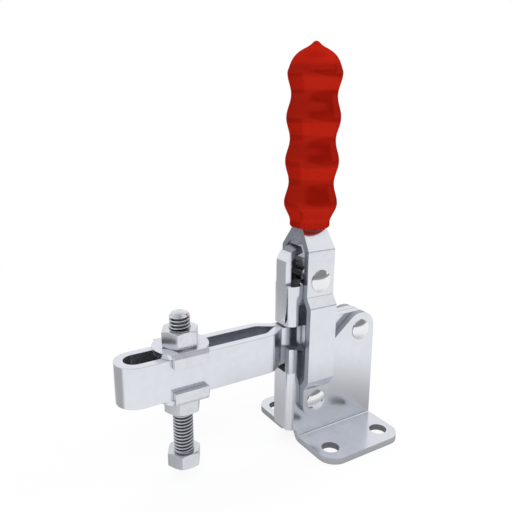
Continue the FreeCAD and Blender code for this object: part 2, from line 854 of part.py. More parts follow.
def make_washer(label, seat, direction):
    """A round plate on the arm whose two sides fold over the arm's edges."""
    body = new_body(label)
    inner = S["arm_half_width"] + S["washer_tab_play"]
    outer = inner + S["washer_sheet"]
    far = S["washer_sheet"] * direction
    tab_end = -S["washer_tab_depth"] * direction
    low = ZERO if direction > 0 else far
    plan = new_sketch(body, "plate_plan", "XY_Plane", low)
    circle(plan, ZERO, ZERO, S["washer_radius"])
    pad(body, "plate", plan, S["washer_sheet"])
    flats = new_sketch(body, "side_flats_plan", "XY_Plane")
    margin = S["washer_radius"]
    for sign in (-1, 1):
        rectangle(flats, -margin, inner * sign, margin, (inner + margin) * sign)
    cut_through(body, "side_flats", flats)
    overlap = S["washer_bend_radius"]
    for side, sign in SIDES:
        section = new_sketch(body, side + "_tab_section", "YZ_Plane")
        outline(section, [
            ((inner - overlap) * sign, ZERO),
            ((inner - overlap) * sign, far),
            (outer * sign, far, S["washer_bend_radius"]),
            (outer * sign, tab_end),
            (inner * sign, tab_end),
            (inner * sign, ZERO),
        ])
        pad(body, side + "_tab", section, S["washer_tab_length"], symmetric=True)
    bore = new_sketch(body, "bore_plan", "XY_Plane")
    circle(bore, ZERO, ZERO, S["spindle_radius"] + S["washer_bore_play"])
    cut_through(body, "bore", bore)
    place(body, S["spindle_x"], seat)


def check_document():
    """Refuse a failed object, an empty cut and a bad shape."""
    for thing in doc.Objects:
        if "Invalid" in thing.State or "Error" in thing.State:
            raise RuntimeError(thing.Label + " of " + thing.Name + " failed")
        if thing.isDerivedFrom("PartDesign::Pocket") or thing.isDerivedFrom("PartDesign::Groove"):
            before = thing.BaseFeature.Shape.Volume
            if before - thing.Shape.Volume < TOLERANCE:
                raise RuntimeError(thing.Name + " cuts nothing")


def export_parts():
    os.makedirs("parts", exist_ok=True)
    for thing in doc.Objects:
        if thing.isDerivedFrom("PartDesign::Body"):
            shape = thing.Shape
            if shape.isNull() or not shape.isValid():
                raise RuntimeError(thing.Label + " has no valid shape")
            if len(shape.Solids) != 1:
                raise RuntimeError(thing.Label + " isn't one solid")
            shape.exportStep(os.path.join("parts", thing.Label + ".step"))
            print(thing.Label, round(shape.Volume, 1))


make_base()
make_arm()
make_link()
for side_name, side_sign in SIDES:
    make_lever_plate(side_name, side_sign)
    make_arm_rivet_stud(side_name, side_sign)
make_grip()
make_rivet("lever_rivet", S["lever_pivot_x"], S["lever_pivot_z"], lever_outer)
make_rivet("toggle_rivet", toggle_x, toggle_z, lever_outer)
make_rivet("link_rivet", toggle_x, S["arm_pivot_z"], base_outer)
make_shank()
make_ring("arm_bush", S["arm_pivot_x"], S["arm_pivot_z"], shank_hole, bush_outer, arm_pinch)
make_ring("link_bush", toggle_x, S["arm_pivot_z"], shank_hole, bush_outer, arm_pinch)
make_ring("lever_sleeve", S["lever_pivot_x"], S["lever_pivot_z"], shank_hole,
          shank_hole + S["sleeve_wall"], S["base_half_gap"])
make_washer("flanged_washer_top", arm_top, 1)
make_washer("flanged_washer_bottom", arm_bottom, -1)
make_nut("nut_top", arm_top + S["washer_sheet"])
make_nut("nut_bottom", arm_bottom - S["washer_sheet"] - S["nut_height"])
make_spindle()
doc.recompute()
check_document()
export_parts()
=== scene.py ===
import math

import bmesh
import bpy
from mathutils import Matrix, Vector


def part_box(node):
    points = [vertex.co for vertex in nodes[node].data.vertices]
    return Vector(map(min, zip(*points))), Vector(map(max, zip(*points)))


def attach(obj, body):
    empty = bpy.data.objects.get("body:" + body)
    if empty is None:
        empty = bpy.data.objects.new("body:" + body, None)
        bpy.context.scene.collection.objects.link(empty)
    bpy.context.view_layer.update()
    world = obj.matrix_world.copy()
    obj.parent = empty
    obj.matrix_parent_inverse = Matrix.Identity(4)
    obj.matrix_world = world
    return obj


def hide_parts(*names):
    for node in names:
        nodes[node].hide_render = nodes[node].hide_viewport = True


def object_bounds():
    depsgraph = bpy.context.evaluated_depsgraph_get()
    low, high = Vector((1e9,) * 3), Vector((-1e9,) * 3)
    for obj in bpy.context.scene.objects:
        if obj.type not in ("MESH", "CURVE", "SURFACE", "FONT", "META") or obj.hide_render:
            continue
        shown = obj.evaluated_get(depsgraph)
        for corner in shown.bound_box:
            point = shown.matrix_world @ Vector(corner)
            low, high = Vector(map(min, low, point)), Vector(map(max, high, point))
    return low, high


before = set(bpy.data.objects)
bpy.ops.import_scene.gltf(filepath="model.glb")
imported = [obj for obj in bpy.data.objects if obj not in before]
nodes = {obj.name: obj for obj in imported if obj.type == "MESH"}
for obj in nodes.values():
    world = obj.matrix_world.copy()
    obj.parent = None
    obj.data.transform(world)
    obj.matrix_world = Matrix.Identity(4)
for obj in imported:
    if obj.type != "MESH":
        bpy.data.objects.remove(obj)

# Toggle clamp, dressed round its CAD nodes and set on a pale floor. Lengths are in metres.
# The origin is the middle of the four mounting holes, the arm points to -X and +Z is up.

CAD_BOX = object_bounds()
MM = 0.001

# Spindle, whose heights start at the underside of its head
SPINDLE_LOW, SPINDLE_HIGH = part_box("spindle_bolt")
SPINDLE_RADIUS = 4.0 * MM
SPINDLE_CROWN = 0.25 * MM
CROWN_MARGIN = 0.6 * MM
SPINDLE_TOP = SPINDLE_HIGH.z - SPINDLE_LOW.z - SPINDLE_CROWN
SPINDLE_CHAMFER = 0.9 * MM
# Its thread, which reaches a little way into the head
HEAD_HEIGHT = 6.1 * MM
HEAD_OVERLAP = 0.05 * MM
THREAD_FOOT = HEAD_HEIGHT - HEAD_OVERLAP
THREAD_PITCH = 1.4 * MM
THREAD_DEPTH = 0.75 * MM
# Rows of one thread turn: share of the pitch, and share of the depth that is cut away there
THREAD_ROWS = ((0.0, 1.0), (0.16, 1.0), (0.44, 0.08), (0.50, 0.0), (0.62, 0.0), (0.70, 0.08))
THREAD_STEPS = 56
# Its hexagon head, whose corners are turned down outside a radius
HEX_FLATS = 12.1 * MM
HEX_SIXTH = math.radians(60)
HEX_CHAMFER_START = 5.95 * MM
HEX_CHAMFER_SLOPE = math.tan(math.radians(24))
HEX_STEPS = 72


# Node trees

# How much more blue than red a ramp's tones have
BLUE_LIFT = 1.01


class Nodes:
    """The node tree of a material or world, with short ways to add to it and join it.

    It is called n where materials are made.
    """

    def __init__(self, owner, output_kind):
        owner.use_nodes = True
        self.tree = owner.node_tree
        self.tree.nodes.clear()
        self.output = self.tree.nodes.new(output_kind)

    def add(self, kind, **values):
        """A node of this kind. Values are properties, or socket names with _ for a space."""
        node = self.tree.nodes.new(kind)
        for key, value in values.items():
            socket_name = key.replace("_", " ")
            if socket_name in node.inputs:
                self.feed(node.inputs[socket_name], value)
            else:
                setattr(node, key, value)
        return node

    def feed(self, socket, value):
        """Link another socket to this one, or give it a plain value."""
        if isinstance(value, bpy.types.NodeSocket):
            self.tree.links.new(value, socket)
        else:
            socket.default_value = value

    def show(self, shader):
        """Make this shader what the tree puts out."""
        self.feed(self.output.inputs["Surface"], shader.outputs[0])

    def math(self, operation, first, second=0.0, clamp=False):
        """Result of a sum on one or two values."""
        node = self.add("ShaderNodeMath", operation=operation, use_clamp=clamp)
        self.feed(node.inputs[0], first)
        self.feed(node.inputs[1], second)
        return node.outputs[0]

    def product(self, first, *others):
        """All the values multiplied together."""
        result = first
        for other in others:
            result = self.math("MULTIPLY", result, other)
        return result

    def length(self, first, second):
        """Length of a line with these two legs."""
        squares = self.math("ADD", self.product(first, first), self.product(second, second))
        return self.math("SQRT", squares)

    def along(self, where, direction):
        """How far a place or direction goes along another direction."""
        node = self.add("ShaderNodeVectorMath", operation="DOT_PRODUCT")
        self.feed(node.inputs[0], where)
        self.feed(node.inputs[1], direction)
        return node.outputs["Value"]

    def span(self, value, low, high, to_low=0.0, to_high=1.0):
        """Value mapped smoothly from one range to another, and held at its ends."""
        node = self.add("ShaderNodeMapRange", interpolation_type="SMOOTHSTEP", Value=value,
                        From_Min=low, From_Max=high, To_Min=to_low, To_Max=to_high)
        return node.outputs["Result"]

    def above(self, value, edge, softness):
        """1 above the edge and 0 below it, with a soft step between them."""
        return self.span(value, edge - softness, edge + softness)

    def below(self, value, edge, softness):
        """1 below the edge and 0 above it, with a soft step between them."""
        return self.span(value, edge + softness, edge - softness)

    def blend(self, share, first, second):
        """Colour that goes from the first to the second with the share."""
        node = self.add("ShaderNodeMix", data_type="RGBA", Factor=share, A=first, B=second)
        return node.outputs["Result"]

    def ramp(self, value, tones):
        """Nearly neutral colour that follows a list of places from 0 to 1 and tones."""
        node = self.add("ShaderNodeValToRGB", Fac=value)
        elements = node.color_ramp.elements
        while len(elements) < len(tones):
            elements.new(0.5)
        for element, (at, tone) in zip(elements, tones):
            element.position = at
            element.color = (tone, tone, min(1.0, tone * BLUE_LIFT), 1.0)
        return node.outputs["Color"]

    def mix_shaders(self, share, first, second):
        """Shader that goes from the first to the second with the share."""
        node = self.add("ShaderNodeMixShader", Fac=share)
        self.feed(node.inputs[1], first.outputs[0])
        self.feed(node.inputs[2], second.outputs[0])
        return node

    def place(self):
        """Coordinates that stay with the object, in metres, with their separate axes."""
        where = self.add("ShaderNodeTexCoord").outputs["Object"]
        return where, self.add("ShaderNodeSeparateXYZ", Vector=where).outputs

    def facing(self):
        """The surface's direction on the object's own axes."""
        direction = self.add("ShaderNodeTexCoord").outputs["Normal"]
        return self.add("ShaderNodeSeparateXYZ", Vector=direction).outputs

    def tilt(self, axis):
        """How squarely the surface faces along this axis, either way, from 0 to 1."""
        return self.math("ABSOLUTE", self.facing()[axis])

    def noise(self, where, per_metre, detail, roughness):
        """Values round 0.5 that vary about so many times in a metre."""
        node = self.add("ShaderNodeTexNoise", Vector=where, Scale=per_metre, Detail=detail,
                        Roughness=roughness)
        return node.outputs["Fac"]

    def bump(self, height, strength, distance, normal=None):
        """Normal of a surface with this relief, on top of an earlier relief's normal."""
        node = self.add("ShaderNodeBump", Strength=strength, Distance=distance, Height=height)
        if normal is not None:
            self.feed(node.inputs["Normal"], normal)
        return node.outputs["Normal"]


def new_material(name):
    """An empty material with its node tree."""
    material = bpy.data.materials.new(name)
    return material, Nodes(material, "ShaderNodeOutputMaterial")


# Plated steel

# Marks in the plating, per metre. Patches are finer than the cloud by a factor, and rub marks
# are drawn out along Z by their small scale
PATCH_FACTOR = 4
GRAIN_PER_METRE = 5200.0
RUB_MARKS_PER_METRE = 3800.0
RUB_MARKS_SCALE = (1.0, 1.0, 0.07)
# Relief of the grain and of the cloud
GRAIN_RELIEF = 0.02 * MM
CLOUD_RELIEF = 0.25 * MM
CLOUD_STRENGTH = 0.03
# Noise values between which the cloud goes from shade to tint, and its factors on roughness
CLOUD_SPAN = (0.3, 0.7)
CLOUD_ROUGHNESS = (1.3, 0.8)
# What bends, cut faces and rub marks add to the roughness
BEND_DULLNESS = 0.45
CUT_DULLNESS = 0.14
RUB_DULLNESS = 0.03
# Tint of cut faces, as shares of the shade
CUT_SHARES = (0.52, 0.53, 0.54)
# Painted shade in recesses: how far a recess looks for what closes it in, the painted shade's
# colour at its darkest, and between which shares of open view the painted shade darkens it
RECESS_REACH = 6.0 * MM
RECESS_PAINTED_SHADE = (0.12, 0.128, 0.142, 1.0)
RECESS_SPAN = (0.10, 0.88)
OPEN_VIEW_SAMPLES = 6
# Painted shade in gaps: how much a gap still mirrors at its deepest, and over how much less open
# view it comes to that
GAP_METALLIC = 0.15
GAP_SPAN = 0.36
# How much painted shade a recess mask adds, how much its places still mirror, and from which value
# of it
HIDDEN_SHADE_SHARE = 0.93
HIDDEN_METALLIC = 0.93
HIDDEN_FULL = 0.3


def metal(name, tint, shade, roughness, cloud_per_metre, grain, cut_faces=None, recess=None,
          bends=None, closing=0.6, gap_open=0.42):
    """Plated steel: faint cloudy tone, fine grain, rub marks, painted shade in recesses and dull
    cut faces.

    cut_faces, recess and bends are masks, and recess picks out places for more painted shade.
    closing is how dark the painted shade in a closed-in place gets, and gap_open the share of open
    view below which it mirrors less, so that it looks darker still.
    """
    material, n = new_material(name)
    where, axes = n.place()
    cloud = n.noise(where, cloud_per_metre, detail=4.0, roughness=0.55)
    patches = n.noise(where, cloud_per_metre * PATCH_FACTOR, detail=5.0, roughness=0.65)
    fine = n.noise(where, GRAIN_PER_METRE, detail=2.0, roughness=0.6)
    drawn_out = n.add("ShaderNodeMapping", Vector=where, Scale=RUB_MARKS_SCALE)
    rubbed = n.noise(drawn_out.outputs["Vector"], RUB_MARKS_PER_METRE, detail=2.0, roughness=0.5)
    tone = n.product(n.math("ADD", cloud, patches), 0.5)
    colour = n.blend(n.span(tone, *CLOUD_SPAN), shade, tint)
    rough = n.span(tone, *CLOUD_SPAN, *(roughness * factor for factor in CLOUD_ROUGHNESS))
    if bends is not None:
        rough = n.math("ADD", rough, n.product(bends(n, axes), BEND_DULLNESS))
    if cut_faces is not None:
        cut = cut_faces(n, axes)
        cut_tint = [part * share for part, share in zip(shade, CUT_SHARES)] + [1.0]
        colour = n.blend(cut, colour, cut_tint)
        rough = n.math("ADD", rough, n.product(cut, CUT_DULLNESS))
    # Painted shade: where little open view is left round a place, its colour is darkened towards
    # the recess's painted shade colour and it mirrors less
    view = n.add("ShaderNodeAmbientOcclusion", samples=OPEN_VIEW_SAMPLES, Distance=RECESS_REACH)
    open_share = view.outputs["AO"]
    painted_recess_shade = n.span(open_share, *RECESS_SPAN, closing, 0.0)
    metallic = n.span(open_share, gap_open - GAP_SPAN, gap_open, GAP_METALLIC, 1.0)
    if recess is not None:
        hidden = recess(n, axes)
        painted_recess_shade = n.math("MAXIMUM", painted_recess_shade, n.product(hidden, HIDDEN_SHADE_SHARE))
        metallic = n.product(metallic, n.span(hidden, 0.0, HIDDEN_FULL, 1.0, HIDDEN_METALLIC))
    colour = n.blend(painted_recess_shade, colour, RECESS_PAINTED_SHADE)
    rough = n.math("ADD", rough, n.product(rubbed, RUB_DULLNESS), clamp=True)
    normal = n.bump(fine, grain, GRAIN_RELIEF)
    normal = n.bump(tone, CLOUD_STRENGTH, CLOUD_RELIEF, normal)
    n.show(n.add("ShaderNodeBsdfPrincipled", Base_Color=colour, Metallic=metallic,
                 Roughness=rough, Normal=normal))
    return material


# Masks: shares from 0 to 1 that pick out some places on a piece. Each is given the node tree and
# the place's axes. Besides cut faces and bends, they pick out where painted shade goes

# Arm: where its bar bends in, how steeply, and how far its slot's walls lie from the middle
ARM_BEND_X = -35.7 * MM
ARM_BEND_SLOPE = 0.664
SLOT_REACH = 5.0 * MM
# Link: the back of its web, and its inner faces
LINK_WEB_BACK = -23.7 * MM
LINK_HALF_GAP = 4.1 * MM
# Lever plates: heights between which painted shade on their inner faces grows
PLATES_OPEN_TO = 60.0 * MM
PLATES_SHUT_FROM = 68.0 * MM
# Rivets: what lies nearer to the middle than this is covered by the base's plates
RIVET_COVERED = 6.3 * MM
# Mounting holes
HOLE_PITCH_X = 27.0 * MM
HOLE_PITCH_Y = 40.7 * MM
HOLE_WALL = 4.3 * MM
# Base: top of the web, above which its side plates have their cut edges
WEB_TOP = 34.0 * MM
WEB_TOP_SOFTNESS = 0.5 * MM
# How softly the masks end at walls, and at places that nothing marks
WALL_SOFTNESS = 0.1 * MM
PLACE_SOFTNESS = 0.2 * MM
# How dark the painted shade at the masks' places is
SLOT_DARK = 0.34
PLATES_DARK = 0.6
HIDDEN_DARK = 0.85
# Tilts from which to which a mask sets in, from 0 beside an axis to 1 along it
STRIP_EDGE_TILTS = (0.75, 0.95)
STRIP_BEND_TILTS = ((0.02, 0.08), (0.53, 0.47))
WASHER_BEND_TILTS = ((0.05, 0.20), (0.98, 0.90))
SLOT_WALL_TILTS = (0.9, 0.6)
HOLE_WALL_TILTS = (0.5, 0.3)
PLATE_EDGE_TILTS = (0.35, 0.10)
PLATE_INSIDE_TILTS = (-0.2, -0.5)
# Shares of the thread's depth between which painted shade darkens its roots
ROOT_SHARES = (0.10, 0.42)


def strip_edges(n, axes):
    """Cut edges of the lever plates, which face forwards and back."""
    return n.span(n.tilt("X"), *STRIP_EDGE_TILTS)


def strip_bends(n, axes):
    """Stretched, duller metal where the lever plates are bent."""
    tilt = n.tilt("Z")
    return n.product(*(n.span(tilt, *tilts) for tilts in STRIP_BEND_TILTS))


def washer_bends(n, axes):
    """Stretched, duller metal where the washers' sides are folded."""
    tilt = n.tilt("Z")
    return n.product(*(n.span(tilt, *tilts) for tilts in WASHER_BEND_TILTS))


def slot_walls(n, axes):
    """Walls inside the arm's slot, round its nose and where the bar bends in behind it, for
    painted shade.
    """
    low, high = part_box("arm_bar")
    nose_middle = low.x + high.y
    before_nose = n.math("MINIMUM", n.math("SUBTRACT", axes["X"], nose_middle), 0.0)
    aside = n.length(axes["Y"], before_nose)
    past_bend = n.math("MAXIMUM", n.math("SUBTRACT", axes["X"], ARM_BEND_X), 0.0)
    reach = n.math("SUBTRACT", SLOT_REACH, n.product(past_bend, ARM_BEND_SLOPE))
    inside = n.above(n.math("SUBTRACT", reach, aside), 0.0, WALL_SOFTNESS)
    upright = n.span(n.tilt("Z"), *SLOT_WALL_TILTS)
    return n.product(inside, upright, SLOT_DARK)


def link_inside(n, axes):
    """Inner faces of the folded link, behind its web, for painted shade."""
    behind = n.above(axes["X"], LINK_WEB_BACK, PLACE_SOFTNESS)
    within = n.below(n.math("ABSOLUTE", axes["Y"]), LINK_HALF_GAP, PLACE_SOFTNESS)
    return n.product(behind, within, HIDDEN_DARK)


def plate_inside(n, axes):
    """Faces of the lever plates that look at each other, for painted shade that grows with height.
    """
    outwards = n.product(n.facing()["Y"], n.math("SIGN", axes["Y"]))
    high = n.span(axes["Z"], PLATES_OPEN_TO, PLATES_SHUT_FROM, 0.0, PLATES_DARK)
    return n.product(n.span(outwards, *PLATE_INSIDE_TILTS), high)


def shank_inside(n, axes):
    """Shanks and bushes between the base's plates, for painted shade."""
    within = n.below(n.math("ABSOLUTE", axes["Y"]), RIVET_COVERED, WALL_SOFTNESS)
    return n.product(within, HIDDEN_DARK)


def thread_roots(n, axes):
    """Bottom of the screw thread, below the cone at the spindle's tip, for painted shade."""
    roots = n.span(n.length(axes["X"], axes["Y"]),
                   *(SPINDLE_RADIUS - THREAD_DEPTH * share for share in ROOT_SHARES))
    cone = SPINDLE_TOP - SPINDLE_CHAMFER
    return n.product(roots, n.span(axes["Z"], cone, cone - PLACE_SOFTNESS))


def hole_walls(n, axes):
    """Walls of the four mounting holes, for painted shade."""
    along = n.math("SUBTRACT", n.math("ABSOLUTE", axes["X"]), HOLE_PITCH_X / 2)
    aside = n.math("SUBTRACT", n.math("ABSOLUTE", axes["Y"]), HOLE_PITCH_Y / 2)
    within = n.below(n.length(along, aside), HOLE_WALL, WALL_SOFTNESS)
    upright = n.span(n.tilt("Z"), *HOLE_WALL_TILTS)
    return n.product(within, upright, HIDDEN_DARK)


def plate_edges(n, axes):
    """Cut edges of the base's side plates above the web."""
    across = n.span(n.tilt("Y"), *PLATE_EDGE_TILTS)
    return n.product(across, n.above(axes["Z"], WEB_TOP, WEB_TOP_SOFTNESS))


# Moulded plastic

# The grip's red, from deep to light, then with painted shade above its bulges and a paler painted
# reflection below them
GRIP_DEEP = (0.27, 0.0062, 0.0024, 1.0)
GRIP_LIGHT = (0.32, 0.0082, 0.0032, 1.0)
GRIP_PAINTED_SHADE = (0.25, 0.0055, 0.0021, 1.0)
GRIP_PAINTED_REFLECTION = (0.40, 0.0105, 0.004, 1.0)
# Its gloss mirrors the room in this red, and makes up this share of what is seen
GLOSS_TINT = (0.75, 0.045, 0.022, 1.0)
GLOSS_SHARE = 0.16
# Heights between which the crown turns to the paler red of the painted reflection
CROWN_LOW = 157.0 * MM
CROWN_HIGH = 160.0 * MM
# Marks in the plastic, per metre, with their relief and its strength
PLASTIC_CLOUD_PER_METRE = 60.0
RIPPLE_PER_METRE = 210.0
RIPPLE_RELIEF = 0.12 * MM
RIPPLE_STRENGTH = 0.25
SPECK_PER_METRE = 2600.0
SPECK_RELIEF = 0.02 * MM
SPECK_STRENGTH = 0.10
# Noise values between which specks roughen it, the roughness there, and what the cloud adds
SPECK_SPAN = (0.45, 0.75, 0.12, 0.19)
PLASTIC_CLOUD_DULLNESS = 0.04
# How far the surface looks up or down where painted shade above a bulge or the painted reflection
# below it sets in
ABOVE_TILTS = (0.02, 0.24)
BELOW_TILTS = (-0.12, -0.22)


def glossy_plastic(name):
    """Moulded red plastic: deep colour with painted shade where it looks up, a paler painted
    reflection where it looks down and on its crown, and a tinted gloss.
    """
    material, n = new_material(name)
    where, axes = n.place()
    upwards = n.facing()["Z"]
    cloud = n.noise(where, PLASTIC_CLOUD_PER_METRE, detail=3.0, roughness=0.5)
    ripple = n.noise(where, RIPPLE_PER_METRE, detail=2.0, roughness=0.5)
    specks = n.noise(where, SPECK_PER_METRE, detail=3.0, roughness=0.7)
    # Painted reflection: paler red where the surface looks down and on the crown; painted shade
    # where it looks up
    painted_reflection = n.math("MAXIMUM", n.span(axes["Z"], CROWN_LOW, CROWN_HIGH),
                  n.span(upwards, *BELOW_TILTS))
    colour = n.blend(n.span(cloud, *CLOUD_SPAN), GRIP_DEEP, GRIP_LIGHT)
    colour = n.blend(n.span(upwards, *ABOVE_TILTS), colour, GRIP_PAINTED_SHADE)
    colour = n.blend(painted_reflection, colour, GRIP_PAINTED_REFLECTION)
    rough = n.math("ADD", n.span(specks, *SPECK_SPAN), n.product(cloud, PLASTIC_CLOUD_DULLNESS))
    normal = n.bump(ripple, RIPPLE_STRENGTH, RIPPLE_RELIEF)
    normal = n.bump(specks, SPECK_STRENGTH, SPECK_RELIEF, normal)
    body = n.add("ShaderNodeBsdfPrincipled", Base_Color=colour, Roughness=rough, Normal=normal)
    body.inputs["Specular IOR Level"].default_value = 0.0
    gloss = n.add("ShaderNodeBsdfAnisotropic", Color=GLOSS_TINT, Roughness=rough, Normal=normal)
    n.show(n.mix_shaders(GLOSS_SHARE, body, gloss))
    return material


# Metals: folded sheet, hexagon fasteners, pressed washers and turned rivets, then one material
# for each kind of piece with its masks
SHEET = {"tint": (0.755, 0.775, 0.825, 1.0), "shade": (0.73, 0.751, 0.803, 1.0),
         "roughness": 0.15, "cloud_per_metre": 90.0, "grain": 0.06}
FASTENER = {"tint": (0.76, 0.775, 0.82, 1.0), "shade": (0.68, 0.70, 0.75, 1.0),
            "roughness": 0.20, "cloud_per_metre": 160.0, "grain": 0.10}
PRESSED = {**FASTENER, "shade": (0.70, 0.72, 0.77, 1.0), "roughness": 0.18}
TURNED = {"tint": (0.87, 0.88, 0.90, 1.0), "shade": (0.82, 0.83, 0.85, 1.0),
          "roughness": 0.05, "cloud_per_metre": 200.0, "grain": 0.02}
METALS = {
    "zinc_link": {**SHEET, "recess": link_inside},
    "zinc_strip": {**SHEET, "cut_faces": strip_edges, "recess": plate_inside,
                   "bends": strip_bends, "closing": 0.45},
    "zinc_arm": {**SHEET, "recess": slot_walls, "closing": 0.4, "gap_open": 0.55},
    "zinc_base": {**SHEET, "cut_faces": plate_edges, "recess": hole_walls, "closing": 0.25},
    "zinc_fastener": {**FASTENER, "closing": 0.35},
    "zinc_washer": {**PRESSED, "bends": washer_bends, "closing": 0.10},
    "zinc_thread": {**FASTENER, "recess": thread_roots, "closing": 0.15, "gap_open": 0.0},
    "rivet_steel": {**TURNED, "recess": shank_inside},
}
materials = {name: metal(name, **look) for name, look in METALS.items()}
materials["red_grip"] = glossy_plastic("red_grip")


# CAD nodes that are seen, with their edges rounded a little

SHEET_EDGE = 0.16 * MM
FASTENER_EDGE = 0.12 * MM
NO_EDGE = 0.0
DRESSED = {
    # Node: its material, and how wide its edges are rounded
    "base_frame": ("zinc_base", SHEET_EDGE),
    "arm_bar": ("zinc_arm", SHEET_EDGE),
    "toggle_link": ("zinc_link", SHEET_EDGE),
    "lever_plate_left": ("zinc_strip", SHEET_EDGE),
    "lever_plate_right": ("zinc_strip", SHEET_EDGE),
    "flanged_washer_top": ("zinc_washer", FASTENER_EDGE),
    "flanged_washer_bottom": ("zinc_washer", FASTENER_EDGE),
    "nut_top": ("zinc_fastener", FASTENER_EDGE),
    "nut_bottom": ("zinc_fastener", FASTENER_EDGE),
    "arm_rivet_shank": ("rivet_steel", NO_EDGE),
    "arm_bush": ("rivet_steel", NO_EDGE),
    "link_bush": ("rivet_steel", NO_EDGE),
    "lever_sleeve": ("rivet_steel", NO_EDGE),
}
# Edges sharper than this are rounded
ROUNDED_ANGLE = math.radians(40)
ROUNDED_SEGMENTS = 2
WELD_REACH = 0.001 * MM
# Weight of large faces over small ones in the shading of rounded edges, at its highest
FACE_WEIGHT = 100


def dress(name, material):
    """Give a node its material."""
    mesh = nodes[name].data
    mesh.materials.clear()
    mesh.materials.append(materials[material])


def soften(name, width):
    """Join the node's split faces and round its sharp edges a little."""
    thing = nodes[name]
    weld = thing.modifiers.new("weld", "WELD")
    weld.merge_threshold = WELD_REACH
    bevel = thing.modifiers.new("bevel", "BEVEL")
    bevel.width = width
    bevel.segments = ROUNDED_SEGMENTS
    bevel.limit_method = "ANGLE"
    bevel.angle_limit = ROUNDED_ANGLE
    bevel.use_clamp_overlap = True
    weigh = thing.modifiers.new("weigh", "WEIGHTED_NORMAL")
    weigh.weight = FACE_WEIGHT
    weigh.keep_sharp = False


for node_name, (node_material, edge_width) in DRESSED.items():
    dress(node_name, node_material)
    if edge_width:
        soften(node_name, edge_width)


# Meshes built here

# Edges sharper than this stay sharp in the shading
SHARP_ANGLE = math.radians(30)


def circle(steps):
    """Angles of evenly spaced points once round a circle."""
    return [2 * math.pi * step / steps for step in range(steps)]


def turned_rings(profile, steps, vertex):
    """Rings of a turned form, from the radius and place along the axis of each.

    vertex makes one, from its two places across the axis and the one along it. A ring of
    radius 0 is a tip with one vertex.
    """
    return [[vertex(radius * math.cos(angle), radius * math.sin(angle), along)
             for angle in circle(steps if radius else 1)]
            for radius, along in profile]


def join_rings(mesh, rings):
    """Faces between neighbouring rings of vertices. A ring of one vertex is a tip."""
    faces = []
    for first, second in zip(rings, rings[1:]):
        count = max(len(first), len(second))
        for i in range(count):
            after = (i + 1) % count
            corners = [first[i % len(first)], first[after % len(first)],
                       second[after % len(second)], second[i % len(second)]]
            faces.append(mesh.faces.new(list(dict.fromkeys(corners))))
    return faces


def smooth(faces):
    """Shade these faces as parts of a round surface."""
    for face in faces:
        face.smooth = True


def open_edges(mesh):
    """Edges round the holes of a mesh."""
    return [edge for edge in mesh.edges if edge.is_boundary]


def finish_piece(name, mesh, material, body, replaced, location=(0.0, 0.0, 0.0)):
    """Turn a mesh into a piece that rides on a body in place of a CAD node."""
    bmesh.ops.recalc_face_normals(mesh, faces=mesh.faces)
    for edge in mesh.edges:
        if len(edge.link_faces) == 2 and edge.calc_face_angle() > SHARP_ANGLE:
            edge.smooth = False
    data = bpy.data.meshes.new(name)
    mesh.to_mesh(data)
    mesh.free()
    data.materials.append(materials[material])
    piece = bpy.data.objects.new(name, data)
    piece.location = location
    bpy.context.scene.collection.objects.link(piece)
    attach(piece, body)
    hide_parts(replaced)


# Grip, in millimetres round its own upright axis, which leans with the lever

LEVER_PIVOT = Vector((-13.5, 0.0, 19.7)) * MM
LEVER_LEAN = math.radians(0.8)
GRIP_ASIDE = 0.1 * MM
GRIP_STEPS = 80
# Radius and height of the outline from the foot up to the collar
GRIP_FOOT = ((7.3, 95.0), (7.85, 95.12), (8.2, 95.6), (8.2, 97.3))
COLLAR_RADIUS = 8.2
COLLAR_TOP = 97.5
# Bulges, and the necks between them
FIRST_CREST = 104.6
BULGE_RADIUS = 10.8
NECK_RADIUS = 9.15
BULGE_PITCH = 17.0
BULGES = 4
TIP_RISE = 11.6
# From collar to first crest: shares of the way up and of the way out
COLLAR_SHARES = ((0.0, 0.0), (0.22, 0.17), (0.49, 0.53), (0.75, 0.86))
# From one crest to the next: shares of the way out from neck to crest, in equal steps
BULGE_SHARES = (1.0, 0.86, 0.5, 0.14, 0.0, 0.14, 0.5, 0.86)
# From the last crest to the tip: shares of its radius and of the way up
CROWN_SHARES = ((0.96, 0.12), (0.905, 0.27), (0.82, 0.435), (0.69, 0.58), (0.52, 0.70),
                (0.29, 0.815), (0.18, 0.89), (0.09, 0.97))
OUTLINE_PARTS = 3
# Socket for the lever's tangs: half its length, then half its depth at each height
SOCKET_HALF_LENGTH = 6.25
SOCKET_LEVELS = ((3.67, 95.0), (2.8, 96.285), (2.8, 148.15))


def smooth_line(points, parts):
    """Points on a Catmull-Rom curve through the given points."""
    line = []
    padded = [points[0]] + list(points) + [points[-1]]
    for a, b, c, d in zip(padded, padded[1:], padded[2:], padded[3:]):
        for part in range(parts):
            s = part / parts
            line.append(tuple(
                0.5 * (2 * q + (r - p) * s + (2 * p - 5 * q + 4 * r - u) * s * s
                       + (3 * q - p - 3 * r + u) * s ** 3)
                for p, q, r, u in zip(a, b, c, d)))
    return line + [points[-1]]


def grip_outline():
    """Radius and height of the grip's outline, from its foot to its tip."""
    last_crest = FIRST_CREST + BULGE_PITCH * (BULGES - 1)
    points = [(COLLAR_RADIUS + (BULGE_RADIUS - COLLAR_RADIUS) * out,
               COLLAR_TOP + (FIRST_CREST - COLLAR_TOP) * up)
              for up, out in COLLAR_SHARES]
    step = BULGE_PITCH / len(BULGE_SHARES)
    for number in range(len(BULGE_SHARES) * (BULGES - 1) + 1):
        share = BULGE_SHARES[number % len(BULGE_SHARES)]
        points.append((NECK_RADIUS + (BULGE_RADIUS - NECK_RADIUS) * share,
                       FIRST_CREST + step * number))
    points += [(BULGE_RADIUS * out, last_crest + TIP_RISE * up) for out, up in CROWN_SHARES]
    tip = (0.0, last_crest + TIP_RISE)
    return list(GRIP_FOOT) + smooth_line(points, OUTLINE_PARTS) + [tip]


